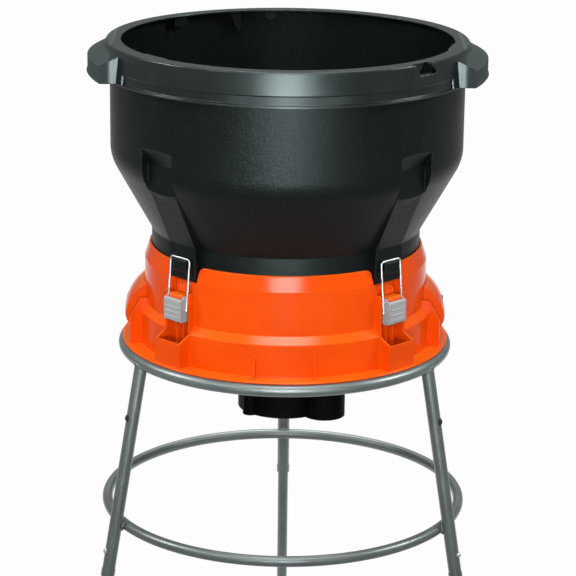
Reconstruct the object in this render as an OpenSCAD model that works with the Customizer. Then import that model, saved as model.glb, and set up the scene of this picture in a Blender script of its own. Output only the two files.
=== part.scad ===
// Electric leaf mulcher on a tube stand: a lift-off hopper, a cutting base with the motor hung below it,
// and three legs joined by two rings. Millimetres, +Z up, floor at z = 0, the front faces -Y.
// Azimuths are counted from the front about the machine's own axis, positive to the right.

/* [Stand] */
// Floor to the top of the upper ring
stand_top = 843; // [700:1:950]
// Upper ring tube diameter
upper_ring_tube = 19; // [15:0.5:24]
// Flange edge to the upper ring's centreline
ring_inset = 3.5; // [1:0.5:8]
// Lower ring diameter at its tube's centreline
lower_ring_d = 564; // [530:1:640]
// Height of the lower ring's centreline above the floor
lower_ring_z = 573; // [450:1:680]
// Lower ring tube diameter
lower_ring_tube = 16.5; // [12:0.5:20]
// Wall of both ring tubes
ring_wall = 1.5; // [1:0.1:2.5]
// Upper leg tube diameter
leg_d = 20; // [18:0.1:26]
// Depth of the lower ring's seat on the inner side of each leg
ring_seat = 0.6; // [0.4:0.1:1]
// Wall of the leg tubes
leg_wall = 1.3; // [1:0.1:2]
// Radial clearance of the lower leg in the upper leg
leg_fit = 0.05; // [0.02:0.01:0.3]
// Lower ring down to the leg joint
leg_joint_drop = 80; // [60:1:120]
// Length of the lower leg inside the upper leg
leg_overlap = 75; // [60:1:90]
// Height of the swaged band at the joint
joint_band_h = 12; // [6:1:16]
// Thickness of the swaged band
joint_band_t = 0.8; // [0.4:0.1:2]
// Foot cap diameter
foot_d = 25.5; // [24:0.5:34]
// Foot cap height
foot_h = 46; // [30:1:70]
// Rubber under the end of the leg
foot_sole = 7; // [5:0.5:12]
// Radial clearance of the foot cap on the leg
foot_fit = 0.05; // [0.02:0.01:0.3]
// Snap button diameter
button_d = 8; // [6:0.5:10]
// Snap button height proud of the tube
button_proud = 3; // [2:0.1:5]
// Clearance round the snap button
button_gap = 0.3; // [0.2:0.05:0.6]
// Joint to the snap button
button_up = 40; // [18:1:45]
// Width of the snap button's leaf
leaf_w = 7; // [5:0.5:8]
// Length of the snap button's leaf
leaf_l = 28; // [20:1:32]
// Thickness of the snap button's leaf and flange
leaf_t = 0.8; // [0.5:0.1:1.2]
// Upper ring down to the black plug in each leg
plug_drop = 88; // [60:1:160]
// Hole of the plug
plug_d = 7; // [5:0.5:9]
// Head of the plug
plug_head_d = 11; // [9:0.5:14]
// Lug that the base is screwed to: width
lug_w = 26; // [20:1:36]
// Lug thickness
lug_t = 4; // [3:0.5:6]

/* [Base] */
// Wall of the orange base
base_wall = 2.8; // [2:0.1:4]
// Clearance of the hopper's neck in the base
hop_gap = 0.6; // [0.3:0.1:1.5]
// Widening of the collar from top to bottom
collar_flare = 7.6; // [5:0.1:10]
// Widening at the step in the wall
step_w = 10.5; // [8:0.5:14]
// Width of the flange
flange_w = 25.5; // [22:0.5:34]
// Thickness of the flange
flange_t = 3; // [2.5:0.5:5]
// Height of the lower wall
lower_wall_h = 50; // [44:1:60]
// Height of the step
step_h = 11; // [8:1:16]
// Height of the upper wall
upper_wall_h = 68; // [62:1:80]
// Height of the collar
collar_h = 23; // [18:1:30]
// Depth of the hopper's neck in the base
neck_in = 40; // [34:1:46]
// Width of the ledge that the hopper stands on
ledge_w = 14; // [11:1:20]
// Thickness of the ledge
ledge_t = 5; // [3:0.5:8]
// Small gussets each side of the front and the back, azimuth
small_gusset_az = 11; // [8:1:16]
// Small gussets, reach on the flange
small_gusset_w = 17; // [12:1:22]
// Small gussets, height
small_gusset_h = 35; // [25:1:45]
// Large gussets at the sides, azimuth from the front and from the back
large_gusset_az = 74; // [70:1:76]
// Large gussets, reach beyond the lower wall
large_gusset_w = 19.5; // [14:0.5:24]
// Large gussets, height of the upright edge
large_gusset_h = 43; // [35:1:50]
// Large gussets, height of the sloped part
large_gusset_rise = 29; // [20:1:35]
// Thickness of the gussets
gusset_t = 3.2; // [2.5:0.1:5]

/* [Latches] */
// Azimuth of the latches from the front and from the back
latch_az = 45; // [42:1:46]
// Width between the cheeks of a latch channel
channel_w = 47; // [46.5:0.5:50]
// Thickness of the cheeks and of the pocket walls
cheek_t = 3; // [2:0.5:4]
// Cheeks proud of the upper wall
cheek_proud = 10; // [6:0.5:12]
// Cheeks, height above the hinge pin
cheek_up = 10; // [8:0.5:14]
// Pocket below a latch, reach beyond the lower wall
pocket_w = 19.5; // [16:0.5:22]
// Pocket height
pocket_h = 38.5; // [30:0.5:42]
// Rise of the pocket's side walls towards the wall
pocket_rise = 10.5; // [6:0.5:12]
// Width of the collar's notch at its foot
notch_w = 60; // [58:1:66]
// Rounding of the notch's upper corners
notch_r = 8; // [4:1:12]
// Height of the collar below its top to the hinge pin
pin_drop = 49; // [46:1:52]
// Channel floor to the hinge pin
pin_out = 16.6; // [16:0.1:19]
// Hinge pin diameter
pin_d = 4; // [3:0.5:5]
// Radial clearance of pins in what turns on them
pin_fit = 0.05; // [0.02:0.01:0.1]
// Width of the hinge lug and of the ribbed ledge above it
hinge_lug_w = 28; // [24:0.5:29]
// Radius of the hinge lug round its pin
hinge_lug_r = 6; // [5:0.5:6.5]
// Gap between the hinge lug and the lever
hinge_side_gap = 1; // [0.5:0.1:1.5]
// Side wall of the lever
lever_side = 3.5; // [3:0.1:4]
// Front plate of the lever
lever_front_t = 3; // [2:0.1:3.5]
// Hinge pin to the lever's front face
lever_front = 11; // [10.5:0.1:13]
// Hinge pin to the lever's back edge
lever_back = 4; // [3:0.5:5]
// Hinge pin down to the lever's lower end
lever_down = 35; // [32:0.5:36]
// Hinge pin up to the top of the lever's front plate
lever_up = 1; // [0.5:0.1:1.5]
// Radius of the lever's eyes round the hinge pin
lever_eye_r = 5; // [4.5:0.1:5.5]
// Grip ridges on the lever, how many
ridge_count = 3; // [2:1:5]
// Grip ridges, spacing
ridge_step = 8; // [6:0.5:9]
// Grip ridges, height proud of the lever
ridge_proud = 0.8; // [0.4:0.1:1.2]
// Bail wire diameter
wire_d = 3; // [2.5:0.1:3.5]
// Gap between the bail and the lever's sides
bail_side_gap = 0.5; // [0.3:0.1:0.7]
// Hinge pin down to the bail's pivot
bail_drop = 17; // [14:0.5:18]
// Bail pivot outward of the hinge pin
bail_out = 0.8; // [0:0.1:1.2]
// Bend radius of the bail's upper corners
bail_bend = 5; // [4:0.5:7]
// Gap between the bail's bar and the nose that it pulls on
bail_seat_gap = 0.3; // [0.2:0.05:0.6]
// Ribbed ledge above the lever, depth from the channel floor
ledge_rib_out = 8.6; // [6:0.2:9]
// Ribbed ledge, hinge pin to its underside
ledge_rib_up = 8; // [7:0.5:9]
// Ribbed ledge, height
ledge_rib_h = 11; // [8:0.5:14]
// Ribs on the ledge, how many
ledge_ribs = 5; // [3:1:6]
// Fins below the lever, spacing
fin_step = 14; // [10:0.5:20]
// Fins below the lever, depth
fin_out = 12; // [8:0.5:13]

/* [Hopper] */
// Outer diameter of the hopper's neck
neck_d = 418; // [400:1:430]
// Outer diameter of the hopper's straight wall
tub_d = 544.6; // [530:0.2:560]
// Wall of the hopper
hopper_wall = 3; // [2.5:0.1:4]
// Neck seen between the collar and the cone
neck_show = 26; // [22:1:34]
// Slope of the cone from upright, degrees
cone_angle = 29.2; // [26:0.1:32]
// Rounding between the cone and the straight wall
shoulder_r = 64; // [40:1:80]
// Straight wall, from the cone's edge to the band
straight_h = 127.7; // [110:0.1:150]
// Height of the rim band
band_h = 51; // [45:1:60]
// Ridge in the band, below the rim
band_ridge = 33; // [26:1:38]
// Rim edge proud of the straight wall
rim_out = 5.7; // [5:0.1:8]
// Width of the flat rim
rim_w = 23; // [19:0.5:26]
// Lower lip of the band, proud of the rim edge
lip_out = 4; // [2:0.5:6]
// Thickness of the rim and the band
rim_t = 3; // [2.5:0.1:4]
// Clearance of the band's foot round the tub
band_gap = 0.3; // [0.2:0.1:0.8]
// Handles, reach beyond the rim edge
handle_out = 28; // [24:1:34]
// Handles, fall of the top from the rim edge to the outer face
handle_fall = 23; // [18:1:28]
// Handles, rim down to the top of the handle where it leaves the band
handle_top = 8; // [4:1:10]
// Handles, height from the rim to the grip's underside
handle_h = 50; // [44:1:56]
// Handles, length along the rim
handle_l = 246; // [200:2:250]
// Pads beside the handles on the band, length
pad_past = 16; // [8:1:20]
// Wall of the handles
handle_t = 3; // [2.5:0.1:4]
// Latch recess in the tub, width
recess_w = 65; // [62:1:70]
// Latch recess depth
recess_deep = 14.3; // [8:0.1:18]
// Rim down to the recess's upper edge
recess_top = 132; // [124:1:140]
// Height of the recess's sloped roof
recess_roof = 28; // [20:1:34]
// Raised latch strip, width
strip_w = 56; // [52:1:57]
// Raised latch strip, proud of the neck
strip_out = 10; // [8:0.5:11]
// Nose that the bail pulls on, proud of the strip
nose_out = 8; // [7:0.5:10]
// Nose height
nose_h = 20; // [14:1:24]
// Nose top above the collar
nose_up = 10; // [6:0.5:14]
// Strip face to the middle of the bail's bar
bar_out = 4; // [3:0.1:5]
// Rim window, azimuth
window_az = 45; // [40:1:50]
// Rim window width at the rim
window_w = 36; // [28:1:42]
// Rim window depth
window_h = 17; // [12:1:22]
// Rim window, lean of its sides towards the handle
window_lean = 12; // [0:1:14]
// Radius of the half-round tongues under the rim
tongue_r = 10; // [7:0.5:12]
// Rim window, inner face from the rim's inner edge
window_in = 11; // [8:0.5:12]

// Width of the shallow steps on the rim's inner edge
inner_step_w = 50; // [30:1:70]

/* [Side covers] */
// Length of a side cover along the wall
cover_l = 100; // [96:1:120]
// Wall of the side covers
cover_t = 2.5; // [2:0.1:3.5]
// Clearance between a cover and the base
cover_gap = 0.2; // [0.1:0.05:0.5]
// Rounding of the cover's ends
cover_r = 22; // [12:1:26]
// Cover bulge beyond the lower wall
cover_out = 21.5; // [20:0.5:26]
// Height above the flange where the cover is widest
cover_mid = 38; // [36:1:44]
// Widest part up to the cover's top
cover_top = 62; // [56:1:66]
// Turn of the bulge's upper half
cover_top_turn = 62; // [55:1:70]
// Radius of the bulge's lower half
cover_low = 18; // [14:0.5:22]
// Turn of the bulge's lower half
cover_low_turn = 64; // [55:1:70]
// Switch and inlet centre above the flange
control_z = 46.5; // [44.5:0.5:48.5]
// Switch window width
switch_w = 22; // [18:0.5:26]
// Switch window height
switch_h = 28; // [24:0.5:30]
// Collar that keeps the switch and the inlet behind the cover's wall, width
collar_w = 3.5; // [2:0.5:5]
// Collar, thickness
collar_t = 3; // [2:0.5:4]
// Faces of the switch and the inlet, sunk below the cover's widest point
control_sink = 4; // [3.5:0.1:6]
// Clearance of the switch and the inlet in their covers
control_gap = 0.2; // [0.1:0.05:0.4]
// Rocker gap in its frame
rocker_gap = 0.5; // [0.3:0.1:0.8]
// Tilt of the rocker each way, degrees
rocker_tilt = 8; // [5:1:10]
// Rocker trunnion diameter
trunnion_d = 3; // [2:0.2:4]
// Outer diameter of the mains inlet
inlet_d = 34; // [32:0.5:38]
// Wall of the mains inlet
inlet_t = 2.5; // [2:0.1:3]
// Blade spacing in the mains inlet
blade_step = 12.7; // [12:0.1:13]
// Blade width
blade_w = 6.3; // [6:0.1:6.6]
// Blade thickness
blade_t = 1.5; // [1.4:0.1:1.6]

/* [Motor] */
// Motor can outer diameter
can_d = 146; // [130:1:150]
// Motor can wall
can_t = 2.5; // [2:0.1:4]
// Underside of the deck to the can's bottom
can_h = 136; // [126:1:146]
// Round bay on the can: diameter
bay_d = 66; // [54:1:70]
// Round bay: azimuth
bay_az = 53; // [50:1:56]
// Round bay: middle to the motor's axis
bay_out = 79; // [70:1:80]
// Corner boss on the can: diameter
corner_d = 24; // [18:1:28]
// Corner boss: azimuth
corner_az = -48; // [-52:1:-44]
// Height of the can's seat for the deck above the flange
deck_up = 16; // [14:1:18]
// Thickness of the deck
deck_t = 6; // [5:0.5:8]
// Deck hub diameter
deck_hub_d = 192; // [186:1:200]
// Deck arm width
arm_w = 26; // [24:1:32]
// Depth of the arm's ribs
arm_rib_h = 12; // [9:1:12]
// Thickness of the arm's ribs
arm_rib_t = 4; // [3:0.5:4.5]
// Length of the pads that the arms rest on
pad_l = 24; // [20:1:28]
// Shaft diameter in the upper bearing
shaft_d = 12; // [10:0.5:14]
// Shaft diameter in the lower bearing
shaft_low_d = 8; // [7:0.5:9]
// Thread diameter at the cutter
thread_d = 10; // [8:0.5:10]
// Upper bearing outer diameter
upper_bearing_d = 32; // [28:1:35]
// Upper bearing width
upper_bearing_w = 10; // [8:1:11]
// Lower bearing outer diameter
lower_bearing_d = 22; // [19:1:24]
// Lower bearing width
lower_bearing_w = 7; // [6:1:8]
// Radial clearance between a fitted pair of motor parts
fit_gap = 0.03; // [0.01:0.01:0.08]
// Field core outer diameter
field_d = 92; // [84:1:98]
// Bore of the field core
field_bore = 58; // [50:1:62]
// Height of the field and armature cores
core_h = 50; // [40:1:56]
// Can bottom to the cores
core_up = 44; // [42:1:48]
// Air gap between armature and field
air_gap = 0.7; // [0.5:0.1:1]
// Height of the winding ends
coil_h = 11; // [8:1:12]
// Commutator diameter
commutator_d = 30; // [26:1:34]
// Commutator height
commutator_h = 13; // [11:1:14]
// Fan diameter
fan_d = 118; // [90:1:124]
// Fan blade height
fan_h = 10; // [8:1:12]
// Fan blades, how many
fan_blades = 9; // [7:1:13]
// Brush width
brush_w = 8; // [6:0.5:9]
// Brush length
brush_l = 20; // [16:1:24]
// Wall of the brush holders
brush_wall = 1.5; // [1:0.1:2]
// Diameter of the leads
lead_d = 6; // [5:0.5:7]

/* [Cutter] */
// Cutter disc diameter
disc_d = 150; // [120:1:180]
// Cutter disc thickness
disc_t = 4; // [3:0.5:6]
// Deck up to the cutter disc
disc_up = 18; // [16:1:22]
// Cutting line diameter
line_d = 3.2; // [2.4:0.1:4]
// Gap between the lines' tips and the wall
line_gap = 13; // [8:1:20]
// Line holders, how many
line_count = 4; // [2:1:6]
// Line holder width
holder_w = 16; // [12:1:20]
// Line holder length
holder_l = 26; // [20:1:30]
// Line holder height
holder_h = 11; // [9:1:14]

/* [Screws] */
// Screws that hold the base to the stand
stand_screw_d = 6; // [5:0.5:8]
// Screws of the deck and the can
deck_screw_d = 5; // [4:0.5:5]
// Screws of the side covers
cover_screw_d = 4; // [3.5:0.5:5]
// Clearance round the screws
screw_gap = 0.1; // [0.05:0.05:0.3]
// Engaged length of the screws
screw_l = 12; // [10:1:13]

/* [Hidden] */

// Places of the shallow steps on the rim's inner edge
inner_step_az = [-50, 77];
$fn = 96;

// Azimuths of what repeats
LEGS = [["left", -60], ["right", 60], ["rear", 180]];
LATCHES = [
    ["front_left", -latch_az], ["front_right", latch_az],
    ["rear_right", 180 - latch_az], ["rear_left", latch_az - 180]
];
ARMS = [0, 90, 180, 270];
SWITCH_AZ = -90;
INLET_AZ = 90;

// Small overlap that makes cuts run clear of a face
eps = 1;
far = 100;

// Radii of the base and the hopper
neck_r = neck_d / 2;
tub_r = tub_d / 2;
collar_r = neck_r + hop_gap + base_wall;
upper_r = collar_r + collar_flare;
lower_r = upper_r + step_w;
flange_r = lower_r + flange_w;
rim_r = tub_r + rim_out;
rim_in_r = rim_r - rim_w;
lip_r = rim_r + lip_out;
band_r = rim_r + 0.8 * lip_out;
under_r = rim_r + 0.35 * lip_out;
foot_r = rim_r + 0.15 * lip_out;
handle_r = rim_r + handle_out;

// Heights above the floor
z_flange = stand_top + flange_t;
z_step = z_flange + lower_wall_h;
z_upper = z_step + step_h;
z_collar = z_upper + upper_wall_h;
z_neck = z_collar + collar_h;
z_ledge = z_neck - neck_in;
z_cone = z_neck + neck_show;
z_band = z_cone + (tub_r - neck_r) / tan(cone_angle) + straight_h;
z_rim = z_band + band_h;
z_head = z_cone + (tub_r - recess_deep - neck_r) / tan(cone_angle);

// Stand
upper_ring_r = flange_r - ring_inset;
upper_ring_z = stand_top - upper_ring_tube / 2;
lower_ring_r = lower_ring_d / 2;
leg_outset = leg_d / 2 + lower_ring_tube / 2 - ring_seat;
leg_slope = (lower_ring_r + leg_outset - upper_ring_r) / (upper_ring_z - lower_ring_z);
leg_tilt = atan(leg_slope);
leg_bore = leg_d - 2 * leg_wall;
lower_leg_d = leg_bore - 2 * leg_fit;
lower_leg_bore = lower_leg_d - 2 * leg_wall;
joint_z = lower_ring_z - leg_joint_drop;
button_z = joint_z + button_up;
plug_z = upper_ring_z - plug_drop;
boss_r = stand_screw_d / 2 + 5;
boss_at = lower_r - base_wall - boss_r + 0.8;
foot_reach = leg_r(0) + foot_d / 2 / cos(leg_tilt);
axis_y = (lip_r - foot_reach) / 2;

// Latches, in radius and height
floor_r = collar_r;
pin_r = floor_r + pin_out;
pin_z = z_neck - pin_drop;
lever_w = hinge_lug_w + 2 * hinge_side_gap + 2 * lever_side;
bail_x = lever_w / 2 + bail_side_gap + wire_d / 2;
bail_r = pin_r + bail_out;
bail_z = pin_z - bail_drop;
strip_r = neck_r + strip_out;
nose_top = z_neck + nose_up;
nose_w = 2 * (bail_x - bail_bend);
bar_r = strip_r + bar_out;
bar_z = nose_top + bail_seat_gap + wire_d / 2;
bail_len = norm([bail_r - bar_r, bar_z - bail_z]);
bail_tilt = atan2(bail_r - bar_r, bar_z - bail_z);
cheek_r = upper_r + cheek_proud;
pocket_r = lower_r + pocket_w;
z_pocket = z_flange + pocket_h;

// Side covers and controls
cover_mid_r = lower_r + cover_out;
z_cover = z_flange + cover_mid;
z_control = z_flange + control_z;
face_r = cover_mid_r - control_sink;
collar_at = face_r - 7.5;
control_back_r = lower_r + cover_gap + 0.7;
rocker_r = face_r - 3;
cover_boss_z = z_upper + 18;
cover_boss_x = cover_l / 2 - 22;

// Motor and cutter, heights
z_deck = z_flange + deck_up;
z_deck_top = z_deck + deck_t;
z_can = z_deck - can_h;
z_core = z_can + core_up;
z_core_top = z_core + core_h;
z_disc = z_deck_top + disc_up;
z_disc_top = z_disc + disc_t;
z_line = z_disc_top + holder_h / 2;
z_lead = z_deck - arm_rib_h / 2;
z_upper_bearing = z_deck + 2;
z_lower_bearing = z_can + can_t + 4;
z_commutator = z_core - coil_h - 3 - commutator_h;
z_fan = z_core_top + coil_h + 6;
can_r = can_d / 2;
can_screw_at = can_r + deck_screw_d / 2 + 2.5;
can_screw_az = 22;
lead_start = lower_r + 6;
lead_end = can_r - 10;
drum_r = lower_r - base_wall;
throat_r = upper_r - base_wall;
pad_in = drum_r - pad_l;
pad_screw_r = drum_r - pad_l / 2;
pad_screw_x = arm_w / 2 - 4;
head_h = 0.65 * deck_screw_d;
commutator_gap = 0.3;

// Distance of a leg's centreline from the machine's axis at a height
function leg_r(z) = upper_ring_r + (upper_ring_z - z) * leg_slope;
// Points on an arc
function arc(c, r, a0, a1, n) = [for (i = [0 : n]) let (a = a0 + (a1 - a0) * i / n) c + r * [cos(a), sin(a)]];

// The machine's axis stands off the origin, which is under the middle of the whole object
module on_axis() translate([0, axis_y, 0]) children();
// Turns a piece that is drawn at the front to its azimuth
module at(az) rotate([0, 0, az]) children();
// An upright plate across the front, drawn as radius and height, centred on the front
module slab(w) translate([w / 2, 0, 0]) rotate([90, 0, -90]) linear_extrude(w) children();
// A radial prism at the front, drawn as width and height, from one radius to another
module facing(r0, r1) translate([0, -r0, 0]) rotate([90, 0, 0]) linear_extrude(r1 - r0) children();
// A rod across the front at a radius and height
module cross_rod(r, z, d, w) translate([-w / 2, -r, z]) rotate([0, 90, 0]) cylinder(d = d, h = w);
// A radial rod at the front
module radial_rod(x, z, d, r0, r1) translate([x, -r0, z]) rotate([90, 0, 0]) cylinder(d = d, h = r1 - r0);
// A full turn of a profile that is drawn as radius and height
module turned(pts) rotate_extrude() polygon(pts);
// The frame of a leg at a height: outward is -Y, and Z runs up the tube
module along_leg(az, z) at(az) translate([0, -leg_r(z), z]) rotate([-leg_tilt, 0, 0]) children();
// A ring tube
module ring(r, z, d) rotate_extrude() translate([r, z]) circle(d = d);
// A pan-head screw that points up from its head
module screw(d, grip) {
    cylinder(d = d, h = grip + screw_l);
    translate([0, 0, -0.65 * d]) cylinder(d1 = 1.5 * d, d2 = 1.9 * d, h = 0.65 * d);
}

// Stand

module upper_ring() color("#8d9092") difference() {
    union() {
        ring(upper_ring_r, upper_ring_z, upper_ring_tube);
        for (leg = LEGS) at(leg[1])
            translate([-lug_w / 2, -upper_ring_r, stand_top - lug_t])
                cube([lug_w, upper_ring_r - boss_at + boss_r, lug_t]);
    }
    ring(upper_ring_r, upper_ring_z, upper_ring_tube - 2 * ring_wall);
    for (leg = LEGS) {
        at(leg[1]) translate([0, -boss_at, stand_top - lug_t - eps])
            cylinder(d = stand_screw_d + 2 * screw_gap, h = lug_t + 2 * eps);
        along_leg(leg[1], upper_ring_z - upper_ring_tube) cylinder(d = leg_bore / 2, h = upper_ring_tube);
    }
}

module lower_ring() color("#8d9092") difference() {
    ring(lower_ring_r, lower_ring_z, lower_ring_tube);
    ring(lower_ring_r, lower_ring_z, lower_ring_tube - 2 * ring_wall);
    for (leg = LEGS)
        along_leg(leg[1], lower_ring_z) cylinder(d = leg_d, h = 2 * leg_d, center = true);
}

module upper_leg(az) color("#8d9092") difference() {
    along_leg(az, joint_z) {
        cylinder(d = leg_d, h = (upper_ring_z - joint_z) / cos(leg_tilt));
        cylinder(d = leg_d + 2 * joint_band_t, h = joint_band_h);
    }
    along_leg(az, joint_z) translate([0, 0, -eps])
        cylinder(d = leg_bore, h = (upper_ring_z - joint_z) / cos(leg_tilt) + far);
    ring(upper_ring_r, upper_ring_z, upper_ring_tube);
    along_leg(az, button_z) radial_rod(0, 0, button_d + 2 * button_gap, 0, leg_d);
    along_leg(az, plug_z) radial_rod(0, 0, plug_d, 0, leg_d);
}

module lower_leg(az) color("#8d9092") difference() {
    along_leg(az, foot_sole)
        cylinder(d = lower_leg_d, h = (joint_z + leg_overlap - foot_sole) / cos(leg_tilt));
    along_leg(az, foot_sole) translate([0, 0, -eps]) cylinder(d = lower_leg_bore, h = 2 * joint_z);
    along_leg(az, button_z) radial_rod(0, 0, button_d + 2 * button_gap, 0, leg_d);
}

module foot_cap(az) color("#1b1b1c") difference() {
    intersection() {
        along_leg(az, 0) translate([0, 0, -foot_d]) cylinder(d = foot_d, h = foot_d + foot_h);
        at(az) translate([-foot_d, -leg_r(0) - foot_d, 0]) cube([2 * foot_d, 2 * foot_d, 2 * foot_h]);
    }
    along_leg(az, foot_sole) cylinder(d = lower_leg_d + 2 * foot_fit, h = 2 * foot_h);
}

// A domed steel button on its flange and leaf, which bend into the tube together
module snap_button(az) color("#d7dadb") along_leg(az, button_z) {
    seat = sqrt(pow(lower_leg_bore / 2, 2) - pow(button_d / 2 + 1.5, 2)) - 0.2;
    top = leg_d / 2 + button_proud;
    dome = button_d / 4;
    translate([0, -seat, 0]) rotate([90, 0, 0]) rotate_extrude()
        polygon(concat([[0, 0], [button_d / 2, 0]],
            arc([button_d / 2 - dome, top - seat - dome], dome, 0, 90, 6), [[0, top - seat]]));
    translate([0, -seat + leaf_t, 0]) rotate([90, 0, 0]) cylinder(d = button_d + 3, h = leaf_t);
    translate([-leaf_w / 2, -seat, 0]) cube([leaf_w, leaf_t, leaf_l]);
}

module leg_plugs() color("#1b1b1c") for (leg = LEGS) along_leg(leg[1], plug_z) {
    radial_rod(0, 0, plug_d - 0.1, leg_d / 2 - leg_wall - 2, leg_d / 2 + 0.5);
    translate([0, -leg_d / 2 - 0.2, 0]) rotate([90, 0, 0])
        cylinder(d1 = plug_head_d, d2 = plug_head_d - 4, h = 1.6);
}

module stand_screws() color("#b9bcbe") for (leg = LEGS) at(leg[1])
    translate([0, -boss_at, stand_top - lug_t]) screw(stand_screw_d, lug_t);

// Base

module base_outer() turned([
    [0, stand_top], [flange_r - 1, stand_top], [flange_r, stand_top + 1], [flange_r, z_flange - 1],
    [flange_r - 1, z_flange],
    [lower_r, z_flange], [lower_r, z_step], [upper_r, z_upper], [upper_r, z_collar],
    [collar_r + 0.4, z_neck - 1.2], [collar_r - 0.8, z_neck], [0, z_neck]
]);

module base_inner() turned([
    [0, stand_top - eps], [drum_r, stand_top - eps], [drum_r, z_step], [throat_r, z_upper],
    [throat_r, z_ledge - ledge_t], [throat_r - ledge_w, z_ledge - ledge_t], [throat_r - ledge_w, z_ledge],
    [throat_r, z_ledge], [throat_r, z_collar], [collar_r - base_wall, z_neck],
    [collar_r - base_wall, z_neck + eps],
    [0, z_neck + eps]
]);

// The channel that a latch lies in, grown by a wall on its inner side
module channel(grow) slab(channel_w + 2 * grow)
    polygon([[floor_r - grow, z_flange - (grow > 0 ? far : 0)],
        [floor_r + far, z_flange - (grow > 0 ? far : 0)],
        [floor_r + far, z_neck + 2 * eps], [floor_r - grow, z_neck + 2 * eps]]);

// Notch in the collar for the hopper's latch strip, with rounded upper corners
module collar_notch() facing(neck_r - far / 5, upper_r + far) {
    half = notch_w / 2;
    polygon(concat(
        [[-half, z_collar], [half, z_collar]],
        arc([half + notch_r, z_neck - notch_r], notch_r, 180, 90, 8),
        [[half + notch_r, z_neck + eps], [-half - notch_r, z_neck + eps]],
        arc([-half - notch_r, z_neck - notch_r], notch_r, 90, 0, 8)
    ));
}

module latch_station() {
    // Cheeks and pocket side walls
    for (side = [-1, 1]) translate([side * (channel_w + cheek_t) / 2, 0, 0]) slab(cheek_t) polygon([
        [floor_r, stand_top + eps], [pocket_r, stand_top + eps], [pocket_r, z_pocket],
        [cheek_r, z_pocket + pocket_rise],
        [cheek_r, pin_z + cheek_up - 4], [cheek_r - 4, pin_z + cheek_up], [floor_r, pin_z + cheek_up]
    ]);
    // Pocket front
    slab(channel_w + 2 * cheek_t) polygon([
        [pocket_r - cheek_t, stand_top + eps], [pocket_r, stand_top + eps], [pocket_r, z_pocket],
        [pocket_r - cheek_t, z_pocket]
    ]);
    // Hinge lug
    slab(hinge_lug_w) polygon([
        [floor_r - eps, pin_z - hinge_lug_r - 6], [pin_r, pin_z - hinge_lug_r],
        [pin_r, pin_z + hinge_lug_r], [floor_r - eps, pin_z + hinge_lug_r]
    ]);
    cross_rod(pin_r, pin_z, 2 * hinge_lug_r, hinge_lug_w);
    // Ribbed ledge above the lever
    slab(hinge_lug_w) polygon(ledge_points(0));
    for (i = [0 : ledge_ribs - 1]) translate([hinge_lug_w * ((i + 0.5) / ledge_ribs - 0.5), 0, 0])
        slab(1.6) polygon(ledge_points(1.2));
    // Fins below the lever
    for (side = [-1, 1]) translate([side * fin_step / 2, 0, 0]) slab(gusset_t) polygon([
        [floor_r - eps, stand_top + eps], [floor_r + fin_out, stand_top + eps],
        [floor_r + fin_out, pin_z - lever_down - 9],
        [floor_r + fin_out - 5, pin_z - lever_down - 3], [floor_r - eps, pin_z - lever_down - 3]
    ]);
}
function ledge_points(o) = [
    [floor_r - eps, pin_z + ledge_rib_up - 1], [floor_r + ledge_rib_out - 1.2 + o, pin_z + ledge_rib_up],
    [floor_r + ledge_rib_out - 5 + o, pin_z + ledge_rib_up + ledge_rib_h],
    [floor_r - eps, pin_z + ledge_rib_up + ledge_rib_h]
];

module gussets() {
    for (az = [-small_gusset_az, small_gusset_az, 180 - small_gusset_az, 180 + small_gusset_az]) at(az)
        slab(gusset_t) polygon([
        [lower_r - eps, stand_top + eps], [lower_r + small_gusset_w, stand_top + eps],
        [lower_r + small_gusset_w, z_flange + 1],
        [lower_r, z_flange + small_gusset_h], [lower_r - eps, z_flange + small_gusset_h]
    ]);
    for (az = [-large_gusset_az, large_gusset_az, 180 - large_gusset_az, large_gusset_az - 180]) at(az)
        slab(gusset_t) polygon([
        [upper_r - eps, stand_top + eps], [lower_r + large_gusset_w, stand_top + eps],
        [lower_r + large_gusset_w, z_flange + large_gusset_h],
        [lower_r + 3, z_flange + large_gusset_h + large_gusset_rise],
        [upper_r - eps, z_flange + large_gusset_h + large_gusset_rise]
    ]);
}

module base_housing() color("#f4581c") difference() {
    union() {
        difference() {
            union() {
                difference() {
                    base_outer();
                    for (latch = LATCHES) at(latch[1]) channel(0);
                }
                for (latch = LATCHES) at(latch[1]) latch_station();
                gussets();
            }
            difference() {
                base_inner();
                for (latch = LATCHES) at(latch[1]) channel(base_wall);
            }
        }
        // Pads for the deck's arms, and bosses for the stand's screws
        for (az = ARMS) at(az) intersection() {
            translate([-arm_w / 2 - 2, -drum_r - 1, stand_top])
                cube([arm_w + 4, pad_l + 1, z_deck - stand_top]);
            cylinder(r = drum_r + 1, h = z_deck);
        }
        for (leg = LEGS) at(leg[1]) translate([0, -boss_at, stand_top]) cylinder(r = boss_r, h = screw_l + 4);
    }
    for (latch = LATCHES) at(latch[1]) {
        collar_notch();
        cross_rod(pin_r, pin_z, pin_d + 2 * fit_gap, channel_w);
    }
    for (leg = LEGS) at(leg[1]) translate([0, -boss_at, stand_top - eps])
        cylinder(d = stand_screw_d + 2 * screw_gap, h = screw_l + eps + 1);
    for (az = ARMS) at(az) for (side = [-1, 1])
        translate([side * pad_screw_x, -pad_screw_r, z_deck - screw_l - 1])
            cylinder(d = deck_screw_d + 2 * screw_gap, h = screw_l + 1 + eps);
    for (az = [SWITCH_AZ, INLET_AZ]) at(az) {
        radial_rod(0, z_lead, lead_d + 0.6, pad_in - eps, lower_r + 2);
        for (side = [-1, 1])
            radial_rod(side * cover_boss_x, cover_boss_z, cover_screw_d + 2 * screw_gap,
            throat_r - far / 5, upper_r + 2);
    }
}

// Side covers: a bulge turned about the machine's axis, with rounded ends

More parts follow.
